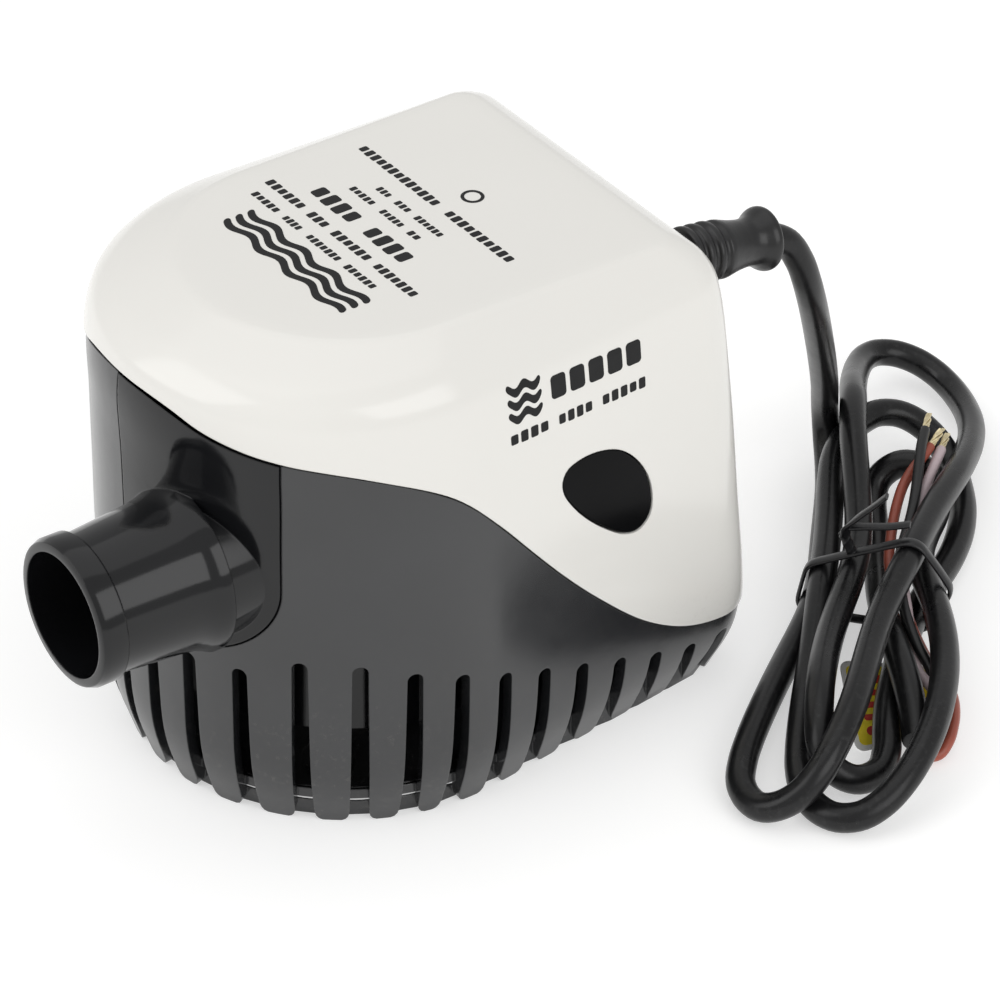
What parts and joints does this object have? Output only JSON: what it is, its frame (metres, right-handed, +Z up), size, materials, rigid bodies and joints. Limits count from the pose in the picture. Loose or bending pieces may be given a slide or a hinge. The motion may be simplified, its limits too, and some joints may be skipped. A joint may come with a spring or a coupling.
{
  "type": "bilge pump",
  "caption": "Submersible centrifugal bilge pump with built-in float switch, slotted snap-off strainer base, side hose tail and coiled supply cable.",
  "frame": {"origin": "on the resting plane, under the motor axis", "axes": "+Z up along the motor axis; +X towards the end where the cable leaves, the hose tail points to -X; +Y completes the frame"},
  "size_m": [0.2386, 0.1476, 0.103],
  "materials": {
    "cover_white": "glossy injection-moulded ABS",
    "strainer_black": "semi-gloss moulded ABS",
    "housing_black": "glossy moulded ABS",
    "button_black": "high-gloss moulded ABS",
    "inner_plastic": "moulded, satin",
    "impeller_plastic": "moulded acetal",
    "float_foam": "closed-cell moulded",
    "gland_rubber": "satin moulded PVC",
    "cable_pvc": "satin extruded PVC",
    "lead_black": "extruded PVC",
    "lead_red": "extruded PVC",
    "lead_white": "extruded PVC",
    "tinned_copper": "twisted strands",
    "tie_plastic": "PVC over wire",
    "label_paper": "coated paper",
    "rubber_seal": "moulded",
    "steel_can": "drawn, zinc plated",
    "steel_shaft": "ground",
    "ferrite": "sintered",
    "bronze": "sintered",
    "copper": "enamelled",
    "stainless": "cold-formed",
    "reed_glass": "drawn",
    "board_green": "solder mask",
    "relay_black": "moulded"
  },
  "bodies": {
    "strainer": {"strainer_base": "strainer_black"},
    "pump_unit": {"board_standoffs": "inner_plastic", "brush_holders": "inner_plastic", "brush_springs": "steel_shaft", "cable_gland": "gland_rubber", "cable_label": "label_paper", "cover_screws": "stainless", "field_magnets": "ferrite", "float_clip": "stainless", "float_housing": "inner_plastic", "float_housing_screws": "stainless", "housing_o_ring": "rubber_seal", "inlet_plate": "housing_black", "inlet_plate_screws": "stainless", "lead_black": "lead_black", "lead_red": "lead_red", "lead_tips": "tinned_copper", "lead_white": "lead_white", "lower_bush": "bronze", "motor_brushes": "ferrite", "motor_can": "steel_can", "motor_end_cap": "inner_plastic", "motor_housing": "inner_plastic", "pump_housing": "housing_black", "reed_leads": "tinned_copper", "reed_switch": "reed_glass", "shaft_seal": "rubber_seal", "supply_cable": "cable_pvc", "switch_board": "board_green", "switch_relay": "relay_black", "top_cover": "cover_white", "twist_tie": "tie_plastic", "upper_bush": "bronze"},
    "rotor": {"motor_shaft": "steel_shaft", "impeller": "impeller_plastic", "armature_core": "steel_can", "armature_windings": "copper", "commutator": "copper"},
    "float_unit": {"float": "float_foam", "float_magnet": "ferrite"},
    "button_near": {"latch_button_near": "button_black"},
    "button_far": {"latch_button_far": "button_black"}
  },
  "joints": [
    {"name": "pump_lift", "type": "slide", "parent": "strainer", "child": "pump_unit", "axis": [0, 0, 1], "range_m": [0, 0.06]},
    {"name": "rotor_spin", "type": "hinge", "parent": "pump_unit", "child": "rotor", "pos_m": [0, 0, 0.05], "axis": [0, 0, 1], "continuous": true},
    {"name": "float_rise", "type": "slide", "parent": "pump_unit", "child": "float_unit", "axis": [0, 0, 1], "range_m": [0, 0.02]},
    {"name": "button_near_press", "type": "slide", "parent": "pump_unit", "child": "button_near", "axis": [0, 1, 0], "range_m": [0, 0.0025]},
    {"name": "button_far_press", "type": "slide", "parent": "pump_unit", "child": "button_far", "axis": [0, -1, 0], "range_m": [0, 0.0025]}
  ]
}
